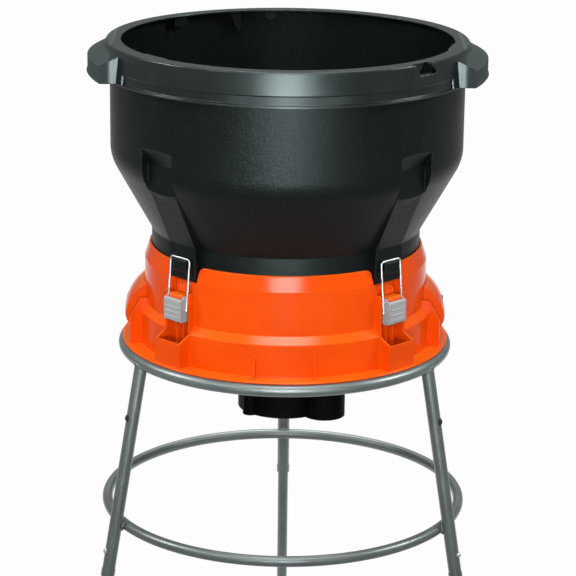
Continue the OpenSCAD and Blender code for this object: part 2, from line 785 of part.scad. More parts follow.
function cover_profile(o) = concat(
    [[upper_r - 6, z_flange + cover_gap + o], [lower_r + 6, z_flange + cover_gap + o]],
    arc([cover_mid_r - cover_low, z_cover], cover_low - o, -cover_low_turn, 0, 6),
    arc([cover_mid_r - cover_top, z_cover], cover_top - o, 0, cover_top_turn, 8),
    [[upper_r - 6, z_cover + cover_top * sin(cover_top_turn) - o]]
);
module cover_form(o) intersection() {
    turned(cover_profile(o));
    translate([0, -lower_r - cover_out, z_flange - eps]) linear_extrude(cover_mid + cover_top + far) {
        reach = 2 * cover_out + 2 * step_w;
        half = cover_l / 2 - o;
        round = cover_r;
        translate([-half, round + o]) square([2 * half, reach]);
        translate([-half + round, o]) square([2 * (half - round), reach]);
        for (side = [-1, 1]) translate([side * (half - round), round + o]) circle(r = round);
    }
}
module base_envelope(gap) turned([
    [0, stand_top], [flange_r + far, stand_top], [flange_r + far, z_flange + gap],
    [lower_r + gap, z_flange + gap],
    [lower_r + gap, z_step + gap / 2], [upper_r + gap, z_upper + gap / 2], [upper_r + gap, z_neck],
    [0, z_neck]
]);
module side_cover() difference() {
    union() {
        difference() {
            cover_form(0);
            cover_form(cover_t);
            children();
        }
        intersection() {
            for (side = [-1, 1])
                radial_rod(side * cover_boss_x, cover_boss_z, cover_screw_d + 6, upper_r, cover_mid_r);
            cover_form(0.5);
        }
    }
    base_envelope(cover_gap);
    for (side = [-1, 1])
        radial_rod(side * cover_boss_x, cover_boss_z, cover_screw_d + 2 * screw_gap, upper_r - eps,
        upper_r + screw_l);
}

module switch_cover() color("#f4581c") side_cover()
    facing(lower_r, cover_mid_r + far) translate([0, z_control]) square([switch_w, switch_h], center = true);

module inlet_cover() color("#f4581c") side_cover()
    radial_rod(0, z_control, inlet_d, lower_r, cover_mid_r + far);

module switch_body() color("#1d1d1f") {
    body_w = switch_w - 2 * control_gap;
    body_h = switch_h - 2 * control_gap;
    difference() {
        union() {
            facing(control_back_r, face_r) translate([0, z_control]) square([body_w, body_h], center = true);
            facing(collar_at - collar_t, collar_at) translate([0, z_control])
                square([switch_w + 2 * collar_w, switch_h + 2 * collar_w], center = true);
        }
        facing(rocker_r - 7, face_r + eps) translate([0, z_control])
            square([body_w - 3, body_h - 3], center = true);
        cross_rod(rocker_r, z_control, trunnion_d + 2 * pin_fit, body_w - 1);
    }
}

// Rests tilted, at off; drawn about its trunnions
module switch_rocker() color("#b3261e") {
    w = switch_w - 2 * control_gap - 3 - 2 * rocker_gap;
    h = switch_h - 2 * control_gap - 3 - 2 * rocker_gap;
    translate([0, -rocker_r, z_control]) rotate([-rocker_tilt, 0, 0]) {
        slab(w) polygon([[-2, -h / 2 + 0.4], [3.4, -h / 2 + 0.8], [1.6, 0], [3.4, h / 2 - 0.8],
            [-2, h / 2 - 0.4]]);
        cross_rod(0, 0, 8, w);
        cross_rod(0, 0, trunnion_d, w + 2 * rocker_gap + 1.6);
    }
}

module inlet_socket() color("#1d1d1f") difference() {
    union() {
        radial_rod(0, z_control, inlet_d - 2 * control_gap, control_back_r, face_r);
        radial_rod(0, z_control, inlet_d + 2 * collar_w, collar_at - collar_t, collar_at);
    }
    radial_rod(0, z_control, inlet_d - 2 * control_gap - 2 * inlet_t, control_back_r + inlet_t, face_r + eps);
    for (side = [-1, 1]) facing(control_back_r - eps, face_r) translate([side * blade_step / 2, z_control])
        square([blade_t, blade_w], center = true);
}

module inlet_blades() color("#c9a84c") for (side = [-1, 1])
    facing(control_back_r, face_r - 1) translate([side * blade_step / 2, z_control])
        square([blade_t - 0.04, blade_w - 0.04], center = true);

module cover_screws() color("#b9bcbe") for (az = [SWITCH_AZ, INLET_AZ]) at(az) for (side = [-1, 1])
    translate([side * cover_boss_x, -sqrt(pow(throat_r, 2) - pow(cover_boss_x + cover_screw_d, 2)) + 0.3,
        cover_boss_z])
        rotate([90, 0, 0]) screw(cover_screw_d, base_wall);

// Motor, hung below its deck

module motor_deck() color("#232325") difference() {
    union() {
        translate([0, 0, z_deck]) cylinder(d = deck_hub_d, h = deck_t);
        at(bay_az) translate([0, -bay_out, z_deck]) cylinder(d = bay_d, h = deck_t);
        translate([0, 0, z_deck]) cylinder(d = upper_bearing_d + 10, h = upper_bearing_w + 4);
        for (az = ARMS) at(az) {
            translate([-arm_w / 2, -drum_r + 1.5, z_deck]) cube([arm_w, drum_r - 1.5, deck_t]);
            for (side = [-1, 1])
                translate([side * (lead_d / 2 + 1 + arm_rib_t / 2) - arm_rib_t / 2, -pad_in + 1,
                z_deck - arm_rib_h])
                cube([arm_rib_t, pad_in - 1 - deck_hub_d / 2, arm_rib_h + 1]);
        }
    }
    translate([0, 0, z_upper_bearing]) cylinder(d = upper_bearing_d + 2 * fit_gap, h = upper_bearing_w + 20);
    translate([0, 0, z_deck - eps]) cylinder(d = shaft_d + 4, h = 20);
    for (az = ARMS) at(az) for (side = [-1, 1])
        translate([side * pad_screw_x, -pad_screw_r, z_deck - eps])
            cylinder(d = deck_screw_d + 2 * screw_gap, h = deck_t + 2 * eps);
    for (az = ARMS) at(az + can_screw_az) translate([0, -can_screw_at, z_deck - eps])
        cylinder(d = deck_screw_d + 2 * screw_gap, h = deck_t + 2 * eps);
}

module deck_screws() color("#b9bcbe") for (az = ARMS) at(az) for (side = [-1, 1])
    translate([side * pad_screw_x, -pad_screw_r, z_deck_top]) mirror([0, 0, 1])
        screw(deck_screw_d, deck_t - 2);

// Round can, bay and corner boss as one outline, grown inward by a wall
module can_form(o) {
    bottom = z_can + o;
    for (part = [[can_r, 0, 0], [bay_d / 2, bay_az, bay_out], [corner_d / 2, corner_az, can_r - 2]])
        at(part[1]) translate([0, -part[2], bottom])
            cylinder(r = part[0] - o, h = can_h - o + (o > 0 ? eps : 0));
}

module motor_can() color("#1a1a1b") difference() {
    union() {
        difference() {
            can_form(0);
            can_form(can_t);
        }
        // Ears for the can's screws
        for (az = ARMS) at(az + can_screw_az) translate([0, -can_screw_at, z_deck - screw_l - 2])
            difference() {
            cylinder(d = deck_screw_d + 7, h = screw_l + 2);
            translate([0, can_screw_at, -eps]) cylinder(r = can_r - can_t / 2, h = screw_l + 4);
        }
        // Posts that hold the field core, and the seat of the lower bearing
        for (az = ARMS) at(az) translate([-5, -can_r + can_t / 2, z_can + can_t / 2])
            cube([10, can_r - can_t / 2 - field_d / 2 - fit_gap, core_up + core_h - can_t]);
        for (az = ARMS) at(az) translate([-5, -field_d / 2 - 2, z_can + can_t / 2])
            cube([10, 6, core_up - can_t / 2]);
        translate([0, 0, z_can + can_t / 2])
            cylinder(d = lower_bearing_d + 8, h = z_lower_bearing + lower_bearing_w - z_can - can_t / 2);
        // Pillars under the brush holders
        for (side = [0, 180]) at(side)
            translate([-brush_w / 2 - brush_wall, -commutator_d / 2 - 2 - brush_l, z_can + can_t / 2])
            cube([brush_w + 2 * brush_wall, brush_l - 4,
                z_commutator + commutator_h / 2 - brush_w / 2 - brush_wall - z_can - can_t / 2]);
    }
    translate([0, 0, z_lower_bearing]) cylinder(d = lower_bearing_d + 2 * fit_gap, h = lower_bearing_w + eps);
    translate([0, 0, z_lower_bearing - 3]) cylinder(d = shaft_low_d + 4, h = 4);
    for (az = ARMS) at(az + can_screw_az) translate([0, -can_screw_at, z_deck - screw_l - 3])
        cylinder(d = deck_screw_d + 2 * screw_gap, h = screw_l + 3 + eps);
    for (az = [SWITCH_AZ, INLET_AZ]) at(az) radial_rod(0, z_lead, lead_d + 0.6, can_r - 8, can_r + eps);
    // Air slots in the bottom
    for (i = [0 : 11]) rotate([0, 0, i * 30 + 15]) translate([can_r * 0.42, -2, z_can - eps])
        cube([can_r * 0.32, 4, can_t + 2 * eps]);
}

module can_screws() color("#b9bcbe") for (az = ARMS) at(az + can_screw_az)
    translate([0, -can_screw_at, z_deck_top]) mirror([0, 0, 1]) screw(deck_screw_d, deck_t - 1);

module field_core() color("#7a7c80") translate([0, 0, z_core]) difference() {
    cylinder(d = field_d, h = core_h);
    translate([0, 0, -eps]) cylinder(d = field_bore, h = core_h + 2 * eps);
}

module field_windings() color("#b4602a") for (z = [z_core - coil_h, z_core_top]) translate([0, 0, z])
    difference() {
    cylinder(d = field_d - 4, h = coil_h);
    translate([0, 0, -eps]) cylinder(d = field_bore + 4, h = coil_h + 2 * eps);
    if (z < z_core) for (az = ARMS) at(az) translate([-6, -field_d / 2 - 4, -eps])
        cube([12, 10, coil_h + 2 * eps]);
}

module motor_shaft() color("#c2c5c8") {
    translate([0, 0, z_lower_bearing]) cylinder(d = shaft_low_d, h = lower_bearing_w + 2);
    translate([0, 0, z_lower_bearing + lower_bearing_w + 1])
        cylinder(d = shaft_d, h = z_disc - z_lower_bearing - lower_bearing_w - 1);
    translate([0, 0, z_disc - 4]) cylinder(d = shaft_d + 10, h = 4);
    translate([0, 0, z_disc - eps]) cylinder(d = thread_d, h = disc_t + thread_d + 8);
}

// A turned part that is fitted on the shaft
module on_shaft(z, d, h) translate([0, 0, z]) difference() {
    cylinder(d = d, h = h);
    translate([0, 0, -eps]) cylinder(d = shaft_d + 2 * fit_gap, h = h + 2 * eps);
}

module armature_core() color("#8b8d91") on_shaft(z_core, field_bore - 2 * air_gap, core_h);

module armature_windings() color("#b4602a") {
    on_shaft(z_core - coil_h, field_bore - 10, coil_h);
    on_shaft(z_core_top, field_bore - 10, coil_h);
}

module commutator() color("#c77f3b") on_shaft(z_commutator, commutator_d, commutator_h);

module cooling_fan() color("#2a2a2c") {
    on_shaft(z_fan, fan_d, 2);
    on_shaft(z_fan, shaft_d + 14, fan_h + 2);
    for (i = [0 : fan_blades - 1]) rotate([0, 0, i * 360 / fan_blades])
        translate([shaft_d / 2 + 5, -1, z_fan + 1]) cube([fan_d / 2 - shaft_d / 2 - 7, 2, fan_h + 1]);
}

module bearing(z, d, bore, w) translate([0, 0, z]) difference() {
    cylinder(d = d, h = w);
    translate([0, 0, -eps]) cylinder(d = bore + 2 * pin_fit, h = w + 2 * eps);
    for (end = [-eps, w - 1]) translate([0, 0, end]) difference() {
        cylinder(d = d - 5, h = 1 + eps);
        translate([0, 0, -eps]) cylinder(d = bore + 5, h = 3 * eps + 1);
    }
}
module upper_bearing() color("#d0d3d6") bearing(z_upper_bearing, upper_bearing_d, shaft_d, upper_bearing_w);
module lower_bearing() color("#d0d3d6")
    bearing(z_lower_bearing, lower_bearing_d, shaft_low_d, lower_bearing_w);

module brush_holders() color("#c9a84c") for (side = [0, 180]) at(side) {
    outer = brush_w + 2 * brush_wall;
    start = commutator_d / 2 + 2;
    difference() {
        facing(start, start + brush_l) translate([0, z_commutator + commutator_h / 2])
            square(outer, center = true);
        facing(start - eps, start + brush_l - brush_wall) translate([0, z_commutator + commutator_h / 2])
            square(brush_w + 0.1, center = true);
    }
}

module carbon_brushes() color("#3a3a3c") for (side = [0, 180]) at(side)
    facing(commutator_d / 2 + commutator_gap, commutator_d / 2 + brush_l - brush_wall)
        translate([0, z_commutator + commutator_h / 2]) square(brush_w, center = true);

module motor_leads() color("#151516") for (az = [SWITCH_AZ, INLET_AZ]) at(az)
    radial_rod(0, z_lead, lead_d, lead_end, lead_start);

// Cutter

module cutter_disc() color("#2f3032") difference() {
    union() {
        translate([0, 0, z_disc]) cylinder(d = disc_d, h = disc_t);
        translate([0, 0, z_disc]) cylinder(d = thread_d + 26, h = disc_t);
    }
    translate([0, 0, z_disc - eps]) cylinder(d = thread_d + 2 * fit_gap, h = disc_t + 2 * eps);
    for (i = [0 : line_count - 1]) rotate([0, 0, 45 + (i + 0.5) * 360 / line_count])
        translate([disc_d * 0.3, 0, z_disc - eps]) cylinder(d = disc_d * 0.12, h = disc_t + 2 * eps);
}

// Repeats what stands on the disc beside each line
module at_lines() for (i = [0 : line_count - 1]) at(45 + i * 360 / line_count) children();

module line_holders() color("#d8551f") at_lines() difference() {
    translate([-holder_w / 2, -disc_d / 2 + 2, z_disc_top]) cube([holder_w, holder_l, holder_h]);
    radial_rod(0, z_line, line_d + 2 * screw_gap, disc_d / 2 - holder_l - far / 4, disc_d / 2 + eps);
}

module cutter_lines() color("#e8e4d8") at_lines() {
    radial_rod(0, z_line, line_d, disc_d / 2 - holder_l - 3, throat_r - line_gap);
    radial_rod(0, z_line, line_d * 2, disc_d / 2 - holder_l - 5, disc_d / 2 - holder_l - 2.1);
}

module disc_washer() color("#b9bcbe") translate([0, 0, z_disc_top]) difference() {
    cylinder(d = thread_d + 16, h = 2);
    translate([0, 0, -eps]) cylinder(d = thread_d + 2 * fit_gap, h = 2 + 2 * eps);
}

module disc_nut() color("#b9bcbe") translate([0, 0, z_disc_top + 2]) difference() {
    cylinder(d = thread_d * 1.9, h = thread_d * 0.8, $fn = 6);
    translate([0, 0, -eps]) cylinder(d = thread_d + 2 * fit_gap, h = thread_d);
}

// Latches, drawn at the front

module latch_pins() color("#c2c5c8") for (latch = LATCHES) at(latch[1])
    cross_rod(pin_r, pin_z, pin_d, lever_w);

module latch_lever() color("#98a2a6") difference() {
    back = pin_r - lever_back;
    front = pin_r + lever_front;
    low = pin_z - lever_down;
    union() {
        // Sides with their eyes
        for (side = [-1, 1]) translate([side * (lever_w - lever_side) / 2, 0, 0]) slab(lever_side) {
            polygon([[back, low + 3], [back + 3, low], [front - 2, low], [front, low + 2],
                [front, pin_z + lever_up - 3],
                [front - 3, pin_z + lever_up], [pin_r, pin_z + lever_up], [back, pin_z]]);
            translate([pin_r, pin_z]) circle(r = lever_eye_r);
        }
        // Front plate and finger edge
        slab(lever_w)
            polygon([[front - lever_front_t, low], [front - 2, low], [front, low + 2],
            [front, pin_z + lever_up - 3],
            [front - lever_front_t, pin_z + lever_up]]);
        slab(lever_w)
            polygon([[back + 3, low], [front - 2, low], [front - 2, low + lever_front_t],
            [back + 3, low + lever_front_t]]);
        for (i = [0 : ridge_count - 1])
            translate([0, 0, low + lever_down / 2 - 3 + (i - (ridge_count - 1) / 2) * ridge_step])
            slab(lever_w - 8)
                polygon([[front - 1, -1.6], [front, -1.6], [front + ridge_proud, 0], [front, 1.6],
                [front - 1, 1.6]]);
    }
    cross_rod(pin_r, pin_z, pin_d + 2 * pin_fit, lever_w + 2 * eps);
    cross_rod(bail_r, bail_z, wire_d + 2 * pin_fit, lever_w + 2 * eps);
}

module latch_bail() color("#d7dadb") translate([0, -bail_r, bail_z]) rotate([-bail_tilt, 0, 0]) {
    for (side = [-1, 1]) {
        translate([side * bail_x, 0, 0]) {
            sphere(d = wire_d);
            cylinder(d = wire_d, h = bail_len - bail_bend);
            rotate([0, -90 * side, 0]) cylinder(d = wire_d, h = bail_x - lever_w / 2 + lever_side - 0.5);
        }
        translate([side * (bail_x - bail_bend), 0, bail_len - bail_bend]) rotate([90, 0, side > 0 ? 0 : 180])
            rotate_extrude(angle = 90) translate([bail_bend, 0]) circle(d = wire_d);
    }
    translate([-bail_x + bail_bend, 0, bail_len]) rotate([0, 90, 0])
        cylinder(d = wire_d, h = 2 * (bail_x - bail_bend));
}

// Hopper

// Neck, cone, shoulder and straight wall as radius and height, moved inward by o
function tub_path(o) =
    let (lean = o / cos(cone_angle), bow = shoulder_r - o)
    let (z_fold = z_cone + (lean - o) / tan(cone_angle))
    let (z_edge = z_cone + (tub_r - o - neck_r + lean) / tan(cone_angle))
    let (middle = [tub_r - o - bow, z_edge + bow * tan(cone_angle / 2)])
    concat([[neck_r - o, z_ledge - (o > 0 ? eps : 0)], [neck_r - o, z_fold]],
        arc(middle, bow, -cone_angle, 0, 8),
        [[tub_r - o, z_rim - rim_t + (o > 0 ? eps : 0)]]);
module tub_form(o) {
    path = tub_path(o);
    turned(concat([[0, path[0][1]]], path, [[0, path[len(path) - 1][1]]]));
}

// Latch recess under the tub's wall, grown by a wall on its inner side
module recess(grow) {
    plane = tub_r - recess_deep - grow;
    edge = z_rim - recess_top + grow;
    low = z_head - 30;
    half = recess_w / 2 + grow;
    slab(2 * half)
        polygon([[plane, low], [plane, edge - recess_roof], [tub_r + eps, edge], [tub_r + far, edge],
        [tub_r + far, low]]);
}

// Raised strip from the cone down to the collar's notch, and the nose for the bail
module latch_strip() {
    head = tub_r - recess_deep - 1;
    slab(strip_w) polygon([
        [neck_r - eps, z_collar + 1], [strip_r, z_collar + 1], [strip_r, z_cone + 5], [head, z_head],
        [head, z_head + 14],
        [head - 5, z_head + 14], [neck_r - eps, z_cone]
    ]);
    slab(nose_w) polygon([
        [strip_r - eps, nose_top - nose_h], [strip_r + nose_out - 3, nose_top - nose_h],
        [strip_r + nose_out, nose_top - nose_h + 3],
        [strip_r + nose_out, nose_top - 1], [strip_r + nose_out - 1, nose_top], [strip_r - eps, nose_top]
    ]);
}

// Window through the rim and the tub's edge
module rim_window() at(window_az) facing(rim_in_r + window_in, lip_r + far) polygon([
    [window_lean - window_w / 2, z_rim - window_h], [window_lean + window_w / 2, z_rim - window_h],
    [window_w / 2, z_rim + eps], [-window_w / 2, z_rim + eps]
]);

module hopper_tub() color("#1f2224") difference() {
    union() {
        difference() {
            tub_form(0);
            for (latch = LATCHES) at(latch[1]) recess(0);
        }
        for (latch = LATCHES) at(latch[1]) latch_strip();
    }
    difference() {
        tub_form(hopper_wall);
        for (latch = LATCHES) at(latch[1]) recess(hopper_wall);
    }
    rim_window();
}

function handle_skin() = [
    [rim_r - 2, z_rim - handle_top], [rim_r, z_rim - handle_top], [handle_r, z_rim - handle_fall],
    [handle_r, z_rim - handle_h + 6],
    [handle_r + 1.5, z_rim - handle_h + 3], [handle_r - 1, z_rim - handle_h],
    [handle_r - handle_t - 2, z_rim - handle_h],
    [handle_r - handle_t, z_rim - handle_h + 5], [handle_r - handle_t, z_rim - handle_fall - 2],
    [rim_r, z_rim - handle_top - handle_t - 1], [rim_r - 2, z_rim - handle_top - handle_t]
];
function handle_end() = [
    [rim_r - 1, z_rim - handle_top], [rim_r, z_rim - handle_top], [handle_r, z_rim - handle_fall],
    [handle_r, z_rim - handle_h + 6],
    [handle_r + 1.5, z_rim - handle_h + 3], [handle_r - 1, z_rim - handle_h], [rim_r - 1, z_rim - handle_h]
];
function handle_pad() = [
    [rim_r - 2, z_rim - handle_top], [rim_r + 1, z_rim - handle_top], [lip_r + 1, z_rim - band_h + 1],
    [lip_r - 2, z_rim - band_h + 1]
];
// A stretch of a turned profile on the right, between two parallel faces
module stretch(pts, y0, y1) intersection() {
    turned(pts);
    translate([0, y0, z_rim - 2 * band_h]) cube([handle_r + far, y1 - y0, 3 * band_h]);
}

module rim_handle() {
    half = handle_l / 2;
    stretch(handle_skin(), -half, half);
    stretch(handle_end(), -half, -half + handle_t);
    stretch(handle_end(), half - handle_t, half);
    stretch(handle_pad(), -half - pad_past, half + pad_past);
}

// Half-round tongue that hangs under the rim
module rim_tongue(r0, r1, round, drop) {
    middle = [0, z_rim - rim_t / 2 - drop];
    facing(r0, r1)
        polygon(concat(arc(middle, round, 180, 360, 16),
        [[round, z_rim - rim_t / 3], [-round, z_rim - rim_t / 3]]));
}

module hopper_rim() color("#2a2d2f") {
    wall_in = tub_r - hopper_wall - band_gap;
    under = z_rim - rim_t;
    difference() {
        union() {
            turned([
                [rim_in_r, z_rim], [rim_r - 1.5, z_rim], [rim_r, z_rim - 1.5], [band_r, z_rim - band_ridge],
                [under_r, z_rim - band_ridge - 1.2], [foot_r, z_rim - band_h + 4.5],
                [lip_r, z_rim - band_h + 2.5],
                [lip_r, z_rim - band_h], [tub_r + band_gap, z_rim - band_h],
                [tub_r + band_gap, z_rim - band_h + rim_t],
                [foot_r - rim_t, z_rim - band_h + rim_t], [under_r - rim_t, z_rim - band_ridge],
                [rim_r - rim_t, under], [rim_in_r, under]
            ]);
            for (side = [0, 1]) mirror([side, 0, 0]) rim_handle();
        }
        rim_window();
    }
    at(window_az) rim_tongue(rim_in_r + window_in - 5, rim_in_r + window_in - 0.5, window_w / 2 - 4, 0);
    at(-138) facing(rim_in_r + 2, wall_in) translate([-13, under - 15]) square([26, 15.5]);
    at(-160.3) facing(rim_in_r + 4, wall_in)
        polygon([[-11, under + 0.5], [11, under + 0.5], [-6, under - 30], [-11, under - 30]]);
    at(-173.6) rim_tongue(rim_in_r + 3, wall_in, tongue_r, 6);
    // Shallow steps on the rim's inner edge
    for (az = inner_step_az) at(az) facing(rim_in_r - 4, rim_in_r + 2)
        translate([-inner_step_w / 2, under]) square([inner_step_w, rim_t]);
}

// Every piece in its place

on_axis() upper_ring();
on_axis() lower_ring();
for (leg = LEGS) {
    on_axis() upper_leg(leg[1]);
    on_axis() lower_leg(leg[1]);
    on_axis() foot_cap(leg[1]);
    on_axis() snap_button(leg[1]);
}
on_axis() leg_plugs();
on_axis() base_housing();
on_axis() at(SWITCH_AZ) switch_cover();
on_axis() at(INLET_AZ) inlet_cover();
on_axis() at(SWITCH_AZ) switch_body();
on_axis() at(SWITCH_AZ) switch_rocker();
on_axis() at(INLET_AZ) inlet_socket();
on_axis() at(INLET_AZ) inlet_blades();
on_axis() motor_deck();
on_axis() motor_can();
on_axis() field_core();
on_axis() field_windings();
on_axis() motor_shaft();
on_axis() armature_core();
on_axis() armature_windings();
on_axis() commutator();
on_axis() cooling_fan();
on_axis() upper_bearing();
on_axis() lower_bearing();
on_axis() brush_holders();
on_axis() carbon_brushes();
on_axis() motor_leads();
on_axis() cutter_disc();
on_axis() line_holders();
on_axis() cutter_lines();
on_axis() disc_washer();
on_axis() disc_nut();
on_axis() stand_screws();
on_axis() deck_screws();
on_axis() can_screws();
on_axis() cover_screws();
on_axis() latch_pins();
for (latch = LATCHES) {
    on_axis() at(latch[1]) latch_lever();
    on_axis() at(latch[1]) latch_bail();
}
on_axis() hopper_tub();
on_axis() hopper_rim();
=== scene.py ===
"""A leaf mulcher: black hopper on an orange cutting base, motor below, grey tube stand."""

import math

import bmesh
import bpy
from mathutils import Matrix, Vector


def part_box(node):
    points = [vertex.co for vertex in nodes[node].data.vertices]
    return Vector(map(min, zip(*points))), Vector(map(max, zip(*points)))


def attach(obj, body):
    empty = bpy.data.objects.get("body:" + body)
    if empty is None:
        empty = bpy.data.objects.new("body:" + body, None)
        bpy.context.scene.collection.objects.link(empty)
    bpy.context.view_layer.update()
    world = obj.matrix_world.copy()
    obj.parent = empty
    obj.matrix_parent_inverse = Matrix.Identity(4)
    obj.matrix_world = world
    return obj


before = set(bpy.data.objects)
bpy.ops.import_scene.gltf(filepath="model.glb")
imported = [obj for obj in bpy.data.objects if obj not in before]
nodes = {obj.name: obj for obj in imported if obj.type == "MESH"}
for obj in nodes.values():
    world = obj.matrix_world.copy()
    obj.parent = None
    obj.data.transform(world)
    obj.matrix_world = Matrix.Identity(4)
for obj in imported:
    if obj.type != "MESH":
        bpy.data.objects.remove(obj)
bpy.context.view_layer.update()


# Stand rings and legs
# Bent and welded steel tube under a grey metallic paint. The upper ring carries the base, the lower ring
# ties the legs from inside, and the lower legs push into the upper ones.
class Wire:
    """A socket that takes part in sums: each operator adds a Math node."""

    def __init__(self, tree, socket):
        self.tree, self.socket = tree, socket

    def node(self, kind, settings=None, out=0, **values):
        """A new node: its settings first, then its sockets by name, or by number as i0, i1."""
        made = self.tree.nodes.new(kind)
        for name, value in (settings or {}).items():
            setattr(made, name, value)
        for name, value in values.items():
            place = int(name[1:]) if name[0] == "i" and name[1:].isdigit() else name.replace("_", " ")
            if isinstance(value, Wire):
                self.tree.links.new(value.socket, made.inputs[place])
            else:
                made.inputs[place].default_value = value
        return Wire(self.tree, made.outputs[out])

    def sum(self, operation, first, second):
        return self.node("ShaderNodeMath", {"operation": operation}, i0=first, i1=second)

    def __add__(self, other):
        return self.sum("ADD", self, other)

    def __sub__(self, other):
        return self.sum("SUBTRACT", self, other)

    def __rsub__(self, other):
        return self.sum("SUBTRACT", other, self)

    def __mul__(self, other):
        return self.sum("MULTIPLY", self, other)

    def __abs__(self):
        return self.node("ShaderNodeMath", {"operation": "ABSOLUTE"}, i0=self)

    __radd__, __rmul__ = __add__, __mul__

    def axis(self, number):
        """One of the three numbers of a vector."""
        return self.node("ShaderNodeSeparateXYZ", out=number, Vector=self)

    def between(self, low, high, start=0.0, end=1.0):
        """This value, stretched softly so that low gives start and high gives end."""
        soft = {"clamp": True, "interpolation_type": "SMOOTHSTEP"}
        return self.node(
            "ShaderNodeMapRange", soft, Value=self, From_Min=low, From_Max=high, To_Min=start, To_Max=end
        )

    def spread(self, start=0.0, end=1.0):
        """A noise, most of which lies between 0.3 and 0.7, stretched to run from start to end."""
        return self.between(0.3, 0.7, start, end)

    def tint(self, dark, light):
        """A colour from dark to light as this value goes from 0 to 1."""
        dark, light = (shade if isinstance(shade, Wire) else (*shade, 1) for shade in (dark, light))
        return self.node("ShaderNodeMix", {"data_type": "RGBA"}, 2, i0=self, i6=dark, i7=light)


def finish_of(name, **fixed):
    """A new material, its shader, and its place on the object in metres."""
    material = bpy.data.materials.new(name)
    material.use_nodes = True
    shader = material.node_tree.nodes["Principled BSDF"]
    for socket, value in fixed.items():
        shader.inputs[socket.replace("_", " ")].default_value = value
    place = Wire(material.node_tree, None).node("ShaderNodeTexCoord", out="Object")
    return material, shader, place


def feed(node, **wires):
    """Links wires to a node's sockets by name."""
    for socket, wire in wires.items():
        node.id_data.links.new(wire.socket, node.inputs[socket.replace("_", " ")])


def noise(place, size, detail=2.0, roughness=0.5):
    """Soft mottling whose blotches are about size metres across."""
    return place.node("ShaderNodeTexNoise", Vector=place, Scale=1 / size, Detail=detail, Roughness=roughness)


def bump(height, depth, strength=1.0, **over):
    """A normal that follows a relief of some depth in metres, over another normal if one is given."""
    return height.node("ShaderNodeBump", Height=height, Distance=depth, Strength=strength, **over)


def wear(material, *names):
    """Gives sub-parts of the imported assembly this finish."""
    for name in names:
        slots = nodes[name].data.materials
        slots.clear()
        slots.append(material)


LEGS = (("left", -60), ("right", 60), ("rear", 180))
FLAKE, PAINT_CLOUD = 0.0015, 0.06
FLAKE_SHARE = 0.4
PAINT_DARK, PAINT_LIGHT = (0.162, 0.193, 0.192), (0.215, 0.252, 0.25)

stand_paint, shader, place = finish_of("stand_paint", Metallic=0.6, Coat_Weight=0.5, Coat_Roughness=0.3)
flake = noise(place, FLAKE)
cloud = noise(place, PAINT_CLOUD)
shimmer = (flake * FLAKE_SHARE + cloud * (1 - FLAKE_SHARE)).spread()
feed(
    shader,
    Base_Color=shimmer.tint(PAINT_DARK, PAINT_LIGHT),
    Roughness=cloud.spread(0.36, 0.42),
    Normal=bump(flake, depth=0.00005, strength=0.3),
)
wear(stand_paint, "upper_ring", "lower_ring")
wear(stand_paint, *[f"{part}_leg_{leg}" for part in ("upper", "lower") for leg, _ in LEGS])


# Weld beads of the stand
# Each leg is welded into the underside of the upper ring and against the outer side of the lower ring. The
# rippled beads are painted over with the tubes.
def centreline(ring, tube):
    """A ring's radius and height at the middle of its tube, to a hundredth of a millimetre."""
    low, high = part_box(ring)
    return round(high[0] - tube, 5), round((low[2] + high[2]) / 2, 5)


# The machine's axis stands 67 mm in front of the origin.
rim_low, rim_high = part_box("hopper_rim")
AXIS_Y = round((rim_low[1] + rim_high[1]) / 2, 5)

UPPER_TUBE, LOWER_TUBE, LEG_RADIUS = 0.0095, 0.00825, 0.01
UPPER_RING_RADIUS, UPPER_RING_HEIGHT = centreline("upper_ring", UPPER_TUBE)
LOWER_RING_RADIUS, LOWER_RING_HEIGHT = centreline("lower_ring", LOWER_TUBE)
# The legs are let into the lower ring a little.
RING_SEAT = 0.0006
LEG_AT_LOWER_RING = LOWER_RING_RADIUS + LOWER_TUBE + LEG_RADIUS - RING_SEAT

BEAD_SIDES, RIPPLE, RIPPLE_STEPS = 8, 0.14, 6
TOP_BEAD, TOP_STEPS = 0.0016, 72
SEARCH_START, SEARCH_STEP, SEARCH_STEPS = 0.016, 0.0001, 200
RING_BEAD, RING_STEPS = 0.002, 60
RING_REACH, RING_RISE, RING_SINK = 0.0076, 0.007, 0.0004


def bead(name, loop, thickness):
    """A rippled round bead along a closed loop of points."""
    middle = sum(loop, Vector()) / len(loop)
    mesh = bmesh.new()
    rows = []
    for i, point in enumerate(loop):
        ahead = (loop[(i + 1) % len(loop)] - loop[i - 1]).normalized()
        side = ahead.cross((point - middle).normalized()).normalized()
        out = side.cross(ahead)
        swell = thickness * (1 + RIPPLE * math.sin(i * math.tau / RIPPLE_STEPS))
        turns = (j * math.tau / BEAD_SIDES for j in range(BEAD_SIDES))
        spokes = (out * math.cos(turn) + side * math.sin(turn) for turn in turns)
        rows.append([mesh.verts.new(point + spoke * swell) for spoke in spokes])
    for i, row in enumerate(rows):
        following = rows[(i + 1) % len(rows)]
        for j in range(BEAD_SIDES):
            k = (j + 1) % BEAD_SIDES
            mesh.faces.new((row[j], row[k], following[k], following[j])).smooth = True
    bmesh.ops.recalc_face_normals(mesh, faces=mesh.faces)
    data = bpy.data.meshes.new(name)
    mesh.to_mesh(data)
    data.materials.append(stand_paint)
    piece = bpy.data.objects.new(name, data)
    bpy.context.scene.collection.objects.link(piece)
    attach(piece, "machine")


